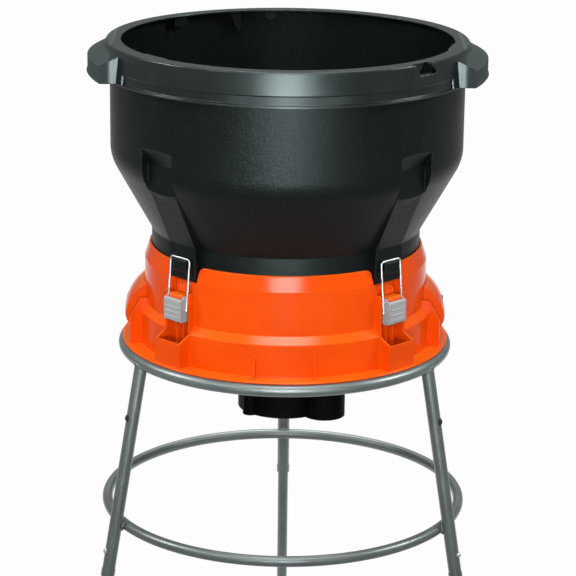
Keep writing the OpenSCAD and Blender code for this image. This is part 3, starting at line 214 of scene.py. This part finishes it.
for leg, azimuth in LEGS:
    turn = math.radians(azimuth)
    outward = Vector((math.sin(turn), -math.cos(turn), 0))
    sideways = Vector((math.cos(turn), math.sin(turn), 0))
    centre = Vector((0, AXIS_Y, 0))
    top = centre + outward * UPPER_RING_RADIUS + Vector((0, 0, UPPER_RING_HEIGHT))
    passing = centre + outward * LEG_AT_LOWER_RING + Vector((0, 0, LOWER_RING_HEIGHT))
    along_leg = (top - passing).normalized()
    square = sideways.cross(along_leg)

    # Up each line of the leg's surface to where it meets the upper ring.
    loop = []
    for i in range(TOP_STEPS):
        turn = i * math.tau / TOP_STEPS
        start = top + (sideways * math.cos(turn) + square * math.sin(turn)) * LEG_RADIUS
        for step in range(SEARCH_STEPS):
            point = start + along_leg * (SEARCH_STEP * step - SEARCH_START)
            reach = math.hypot(point.x, point.y - AXIS_Y) - UPPER_RING_RADIUS
            rise = point.z - UPPER_RING_HEIGHT
            if math.hypot(reach, rise) <= UPPER_TUBE or rise > 0:
                break
        loop.append(point)
    bead(f"weld_top_{leg}", loop, TOP_BEAD)

    # Round the spot where the leg touches the lower ring, midway between the two curved tubes.
    seat = outward * (LOWER_RING_RADIUS + LOWER_TUBE - RING_SINK)
    touch = centre + seat + Vector((0, 0, LOWER_RING_HEIGHT))
    loop = []
    for i in range(RING_STEPS):
        turn = i * math.tau / RING_STEPS
        reach, rise = RING_REACH * math.cos(turn), RING_RISE * math.sin(turn)
        leg_bend = reach**2 / (4 * LEG_RADIUS)
        ring_bend = reach**2 / (4 * LOWER_RING_RADIUS)
        tube_bend = rise**2 / (4 * LOWER_TUBE)
        bow = leg_bend - ring_bend - tube_bend
        loop.append(touch + sideways * reach + along_leg * rise + outward * bow)
    bead(f"weld_ring_{leg}", loop, RING_BEAD)


# Foot caps, leg plugs and motor leads
# Black rubber: caps pushed over the tube ends, plugs pushed into holes in the legs, and the sleeves of the
# two leads to the motor.
def mottled(name, blotch, dark, light, grain, roughness, relief=None, **fixed):
    """A material whose colour varies in blotches and whose gloss varies in a grain.

    blotch and grain are sizes in metres, roughness is the grain's two ends, and relief is the depth and
    strength of a grain that can be felt.
    """
    material, shader, place = finish_of(name, **fixed)
    fine = noise(place, grain)
    feed(shader, Base_Color=noise(place, blotch).tint(dark, light), Roughness=fine.spread(*roughness))
    if relief:
        feed(shader, Normal=bump(fine, *relief))
    return material


rubber = mottled(
    "rubber",
    blotch=0.02,
    dark=(0.008, 0.008, 0.009),
    light=(0.018, 0.018, 0.019),
    grain=0.0012,
    roughness=(0.6, 0.8),
    relief=(0.0002, 0.5),
    Specular_IOR_Level=0.35,
)
wear(rubber, "leg_plugs", "motor_leads", *[f"foot_cap_{leg}" for leg, _ in LEGS])

# Snap buttons, screws, pins, shaft and bearings
# Plated or ground steel. The buttons are domes that spring out through the leg tubes, the screws and pins
# hold the base, its covers and the latches, and the shaft turns in the bearings.
STREAK = 0.004
STEEL_DARK, STEEL_LIGHT = (0.74, 0.75, 0.76), (0.9, 0.91, 0.92)

bright_steel, shader, place = finish_of("bright_steel", Metallic=1.0)
streak = noise(place, STREAK, detail=4)
feed(shader, Base_Color=streak.tint(STEEL_DARK, STEEL_LIGHT), Roughness=streak.spread(0.26, 0.4))
wear(bright_steel, *[f"snap_button_{leg}" for leg, _ in LEGS])
wear(bright_steel, "stand_screws", "deck_screws", "can_screws", "cover_screws", "latch_pins")
wear(bright_steel, "motor_shaft", "upper_bearing", "lower_bearing", "disc_washer", "disc_nut")

# Orange cutting base, its side covers and the cutter's line holders
# Injection-moulded semi-gloss plastic: one large moulding with ribs and latch channels, and two covers
# screwed to it. Corners are rounded and carry a painted highlight, and faces that look up are painted
# paler, a painted highlight of the light from above.
BEVEL_SAMPLES = 6
# How far the rounded normal agrees with the flat one where a corner begins, and at its middle.
CORNER_BEGINS, CORNER_FULL = 0.995, 0.9


def edge(place, radius):
    """The normal with its corners rounded to a radius, and a mask of those corners."""
    rounded = place.node("ShaderNodeBevel", {"samples": BEVEL_SAMPLES}, Radius=radius)
    flat = place.node("ShaderNodeNewGeometry", out="Normal")
    dot = {"operation": "DOT_PRODUCT"}
    agreement = place.node("ShaderNodeVectorMath", dot, "Value", i0=rounded, i1=flat)
    return rounded, agreement.between(CORNER_BEGINS, CORNER_FULL)


BASE_MOTTLE, BASE_GRAIN, BASE_CORNER = 0.05, 0.0009, 0.0016
BLOTCH_RANGE = 0.35, 0.65
ORANGE_DARK, ORANGE_LIGHT, ORANGE_PAINTED_HIGHLIGHT = (0.755, 0.067, 0.001), (0.81, 0.08, 0.002), (0.84, 0.17, 0.008)
# Painted highlight: faces that look up are painted paler, as if lit from above, from this slope to this
# one, by this share.
PAINTED_TOPLIGHT_BEGINS, PAINTED_TOPLIGHT_FULL, PAINTED_TOPLIGHT_SHARE = 0.5, 0.95, 0.7

orange_plastic, shader, place = finish_of("orange_plastic", Specular_IOR_Level=0.22)
mottle = noise(place, BASE_MOTTLE, detail=3)
fine = noise(place, BASE_GRAIN)
rounded, corner = edge(place, BASE_CORNER)
# Painted highlight of the light from above on the faces that look up.
painted_toplight = place.node("ShaderNodeNewGeometry", out="Normal").axis(2).between(PAINTED_TOPLIGHT_BEGINS, PAINTED_TOPLIGHT_FULL)
# The corners are painted lighter, a painted highlight along the edges, half and half with the mottle.
blotch = mottle.between(*BLOTCH_RANGE) * 0.5 + corner * 0.5
moulded_with_corner_highlight = blotch.tint(ORANGE_DARK, ORANGE_LIGHT)
feed(
    shader,
    Base_Color=(painted_toplight * PAINTED_TOPLIGHT_SHARE).tint(moulded_with_corner_highlight, ORANGE_PAINTED_HIGHLIGHT),
    Roughness=mottle.spread(0.175, 0.2) + corner * 0.05,
    Normal=bump(fine, depth=0.00006, strength=0.3, Normal=rounded),
)
wear(orange_plastic, "base_housing", "switch_cover", "inlet_cover", "line_holders")

# Motor pod, deck, fan, cutter disc, and the bodies of switch and inlet
# Dull black mouldings, lightly grained; the carbon brushes are as dull and black. The deck carries the
# motor in the throat, and the can hangs below it on screws.
pod_plastic = mottled(
    "pod_plastic",
    blotch=0.03,
    dark=(0.0008, 0.001, 0.001),
    light=(0.002, 0.0023, 0.0024),
    grain=0.001,
    roughness=(0.45, 0.6),
    relief=(0.00015, 0.4),
    Specular_IOR_Level=0.07,
)
wear(pod_plastic, "motor_deck", "motor_can", "cooling_fan", "cutter_disc", "carbon_brushes")
wear(pod_plastic, "switch_body", "inlet_socket")

# Switch rocker
# A small glossy red moulding that tips on its own pins in the switch body.
red_plastic = mottled(
    "red_plastic",
    blotch=0.01,
    dark=(0.42, 0.012, 0.01),
    light=(0.5, 0.02, 0.015),
    grain=0.006,
    roughness=(0.25, 0.35),
    Coat_Weight=0.3,
)
wear(red_plastic, "switch_rocker")

# Mains blades and brush holders
# Brass: flat blades fixed in the inlet, and square tubes that hold the brushes against the commutator.
brass = mottled(
    "brass",
    blotch=0.004,
    dark=(0.66, 0.46, 0.16),
    light=(0.8, 0.6, 0.26),
    grain=0.002,
    roughness=(0.2, 0.35),
    Metallic=1.0,
)
wear(brass, "inlet_blades", "brush_holders")

# Motor windings and commutator
# Copper: wire wound on the cores, and a drum on the shaft that the brushes touch.
copper = mottled(
    "copper",
    blotch=0.002,
    dark=(0.55, 0.2, 0.07),
    light=(0.75, 0.33, 0.14),
    grain=0.002,
    roughness=(0.3, 0.45),
    Metallic=1.0,
)
wear(copper, "field_windings", "armature_windings", "commutator")

# Motor cores
# Stacks of stamped steel sheet, one fixed in the can and one on the shaft.
core_steel = mottled(
    "core_steel",
    blotch=0.003,
    dark=(0.26, 0.27, 0.28),
    light=(0.4, 0.41, 0.42),
    grain=0.002,
    roughness=(0.4, 0.55),
    Metallic=1.0,
)
wear(core_steel, "field_core", "armature_core")

# Cutting lines
# Pale nylon line, threaded through the holders on the disc and kept there by its thicker inner end.
nylon = mottled(
    "nylon",
    blotch=0.01,
    dark=(0.68, 0.65, 0.52),
    light=(0.78, 0.75, 0.63),
    grain=0.004,
    roughness=(0.35, 0.5),
)
wear(nylon, "cutter_lines")

# Draw latches
# Blue-grey moulded levers on pins in the base, with bright wire bails that pull on the hopper's noses.
LATCHES = ("front_left", "front_right", "rear_right", "rear_left")

lever_plastic = mottled(
    "lever_plastic",
    blotch=0.01,
    dark=(0.29, 0.305, 0.31),
    light=(0.34, 0.352, 0.357),
    grain=0.0008,
    roughness=(0.4, 0.55),
    relief=(0.0001, 0.4),
)
wear(lever_plastic, *[f"latch_lever_{latch}" for latch in LATCHES])
wear(bright_steel, *[f"latch_bail_{latch}" for latch in LATCHES])

# Hopper tub
# Moulded black plastic with a fine sandy grain, set in the base's collar and held down by the latches.
SAND, TUB_CLOUD, TUB_CORNER = 0.004, 0.03, 0.0022
SAND_SHARE, SPECKLE_RANGE, CORNER_HIGHLIGHT_SHARE = 0.7, (0.35, 0.7), 0.8
TUB_DARK, TUB_LIGHT = (0.0008, 0.0012, 0.0013), (0.004, 0.0052, 0.0054)
TUB_SHEEN = (0.77, 1.0, 1.0, 1)

grained_black, shader, place = finish_of("grained_black", Specular_IOR_Level=0.31, Specular_Tint=TUB_SHEEN)
sand = noise(place, SAND, detail=4, roughness=0.65)
cloud = noise(place, TUB_CLOUD, detail=3)
rounded, corner = edge(place, TUB_CORNER)
# Sandy speckle, with the corners painted lighter as a painted highlight along the edges.
speckle_and_corner_highlight = (sand * SAND_SHARE + cloud * (1 - SAND_SHARE)).between(*SPECKLE_RANGE) + corner * CORNER_HIGHLIGHT_SHARE
feed(
    shader,
    Base_Color=speckle_and_corner_highlight.tint(TUB_DARK, TUB_LIGHT),
    Roughness=sand.spread(0.46, 0.36),
    Normal=bump(sand, depth=0.0008, strength=0.55, Normal=rounded),
)
wear(grained_black, "hopper_tub")

# Hopper rim with its two handles
# A smoother satin moulding that caps the tub's edge. The handles at its sides have a duller, rougher grip.
RIM_GRAIN, RIM_CLOUD, RIM_CORNER = 0.001, 0.04, 0.0018
RIM_DARK, RIM_LIGHT = (0.0025, 0.0034, 0.0035), (0.0055, 0.007, 0.0072)
RIM_SHEEN = (0.8, 1.0, 1.0, 1)
# Distance from the middle at which the grips begin, and at which they are full.
GRIP_BEGINS, GRIP_FULL = 0.262, 0.27
GRIP_DULLNESS = 0.5

satin_black, shader, place = finish_of("satin_black", Specular_IOR_Level=0.9, Specular_Tint=RIM_SHEEN)
fine = noise(place, RIM_GRAIN)
cloud = noise(place, RIM_CLOUD, detail=3)
rounded, corner = edge(place, RIM_CORNER)
grip = abs(place.axis(0)).between(GRIP_BEGINS, GRIP_FULL)
# The corners are painted at the light end of the colour, a painted highlight along the edges.
feed(
    shader,
    Base_Color=(cloud.between(*BLOTCH_RANGE) + corner).tint(RIM_DARK, RIM_LIGHT),
    Roughness=cloud.spread(0.29, 0.3) + grip * GRIP_DULLNESS,
    Normal=bump(fine, depth=0.00012, strength=grip.between(0, 1, 0.25, 0.6), Normal=rounded),
)
wear(satin_black, "hopper_rim")

# Studio floor and backdrop
# Pale paper that takes the machine's shadow. It is white behind the machine and fades to grey round it, and
# the room beyond is an even grey.
FLOOR_HALF = 30
WHITE = (1, 1, 1, 1)
PAPER_GREY = (0.42, 0.42, 0.42, 1)
# The white begins and is full at these places behind the origin, and its sides fade between these two
# distances from the middle, which grow by the splay on the way back.
WHITE_BEGINS, WHITE_FULL = -0.3, 0.95
FADE_BEGINS, FADE_ENDS, FADE_SPLAY = 0.6, 3.0, 0.13
WHITE_GLOW, GREY_GLOW = 0.78, 0.2
ROOM_LIGHT, ROOM_SEEN = 0.1, 0.235


def seen_by(tree):
    """1 for rays from the camera, off gloss and through glass, and 0 for the light that falls on things."""
    camera, gloss, glass = (
        Wire(tree, None).node("ShaderNodeLightPath", out=f"Is {kind} Ray")
        for kind in ("Camera", "Glossy", "Transmission")
    )
    return camera + gloss + glass


floor_mesh = bmesh.new()
bmesh.ops.create_grid(floor_mesh, x_segments=1, y_segments=1, size=FLOOR_HALF)
floor_data = bpy.data.meshes.new("floor")
floor_mesh.to_mesh(floor_data)
floor = bpy.data.objects.new("floor", floor_data)
bpy.context.scene.collection.objects.link(floor)

paper, shader, place = finish_of("paper", Base_Color=PAPER_GREY, Roughness=0.9, Specular_IOR_Level=0.1)
across, along = abs(place.axis(0)), place.axis(1)
behind = along.between(WHITE_BEGINS, WHITE_FULL)
white = behind * (across - along * FADE_SPLAY).between(FADE_BEGINS, FADE_ENDS, 1, 0)
shown = seen_by(paper.node_tree) * (white * WHITE_GLOW + GREY_GLOW)
matt = Wire(paper.node_tree, shader.outputs["BSDF"])
glow = place.node("ShaderNodeEmission", Color=WHITE)
blend = place.node("ShaderNodeMixShader", i0=shown, i1=matt, i2=glow)
feed(paper.node_tree.nodes["Material Output"], Surface=blend)
floor_data.materials.append(paper)

world = bpy.data.worlds.new("studio")
bpy.context.scene.world = world
world.use_nodes = True
room = world.node_tree.nodes["Background"]
room.inputs["Color"].default_value = WHITE
feed(room, Strength=seen_by(world.node_tree).between(0, 1, ROOM_LIGHT, ROOM_SEEN))

# Studio lamps
# Soft boxes with a narrow spread, so that they light the machine and little of the floor. Nested panels in
# front give the rim its broad soft highlight.
NARROW, WIDE = 40, 50
RIM_FRONT, BASE_FRONT, BASE_MIDDLE = (0, -0.3, 1.1), (0, -0.2, 1.0), (0, 0, 0.95)

# Name, place, aim, size, power in watts and spread in degrees.
SOFT_BOXES = (
    ("front", (0, -2.4, 1.03), RIM_FRONT, (0.9, 0.22), 1.02, NARROW),
    ("front_wide", (0, -2.42, 1.03), RIM_FRONT, (1.6, 0.24), 0.64, NARROW),
    ("front_wider", (0, -2.44, 1.03), RIM_FRONT, (2.5, 0.26), 0.31, NARROW),
    ("front_low", (0, -2.4, 0.58), RIM_FRONT, (0.5, 0.16), 0.12, NARROW),
    ("low_left", (-1.15, -2.3, 0.58), RIM_FRONT, (0.6, 0.16), 0.06, NARROW),
    ("low_right", (1.15, -2.3, 0.58), RIM_FRONT, (0.6, 0.16), 0.06, NARROW),
    ("left", (-2.4, -0.2, 2.6), BASE_MIDDLE, (0.7, 0.7), 3.4, WIDE),
    ("right", (2.4, -0.2, 2.6), BASE_MIDDLE, (0.7, 0.7), 3.8, WIDE),
    ("high", (0, -2.6, 1.92), BASE_FRONT, (1.2, 0.13), 1.35, NARROW),
    ("top", (0, -1.0, 3.0), (0, -0.2, 0.95), (1.4, 0.4), 2.2, WIDE),
    ("key", (-1.9, -2.0, 2.6), (0, 0, 1.1), (0.5, 0.5), 1.0, WIDE),
    ("back", (0, 1.6, 3.3), (0, 0.2, 0.95), (1.4, 0.5), 4, WIDE),
)

for name, station, aim, size, power, spread in SOFT_BOXES:
    lamp = bpy.data.lights.new(name, "AREA")
    lamp.shape = "RECTANGLE"
    lamp.size, lamp.size_y = size
    lamp.energy = power
    lamp.spread = math.radians(spread)
    holder = bpy.data.objects.new(name, lamp)
    holder.location = station
    holder.rotation_mode = "QUATERNION"
    holder.rotation_quaternion = (Vector(aim) - Vector(station)).to_track_quat("-Z", "Y")
    bpy.context.scene.collection.objects.link(holder)

# Camera
# It stands in front of the machine's axis, 0.65 m above the rim, and looks down through a narrow lens.
CAMERA_BACK, CAMERA_HEIGHT = 3.55949, 1.96107
TILT, ROLL = math.radians(16.33), math.radians(0.67)
SENSOR_WIDTH, FOCAL_LENGTH, SIDE_SHIFT = 36, 147.24, 0.00486

level, rising = Vector((1, 0, 0)), Vector((0, math.sin(TILT), math.cos(TILT)))
right_way = level * math.cos(ROLL) + rising * math.sin(ROLL)
up_way = rising * math.cos(ROLL) - level * math.sin(ROLL)
back_way = right_way.cross(up_way)
lens = bpy.data.cameras.new("camera")
lens.sensor_width, lens.lens, lens.shift_x = SENSOR_WIDTH, FOCAL_LENGTH, SIDE_SHIFT
camera = bpy.data.objects.new("camera", lens)
tripod = Matrix.Translation((0, AXIS_Y - CAMERA_BACK, CAMERA_HEIGHT))
camera.matrix_world = tripod @ Matrix((right_way, up_way, back_way)).transposed().to_4x4()
bpy.context.scene.collection.objects.link(camera)
bpy.context.scene.camera = camera

bpy.context.scene.view_settings.view_transform = "Standard"
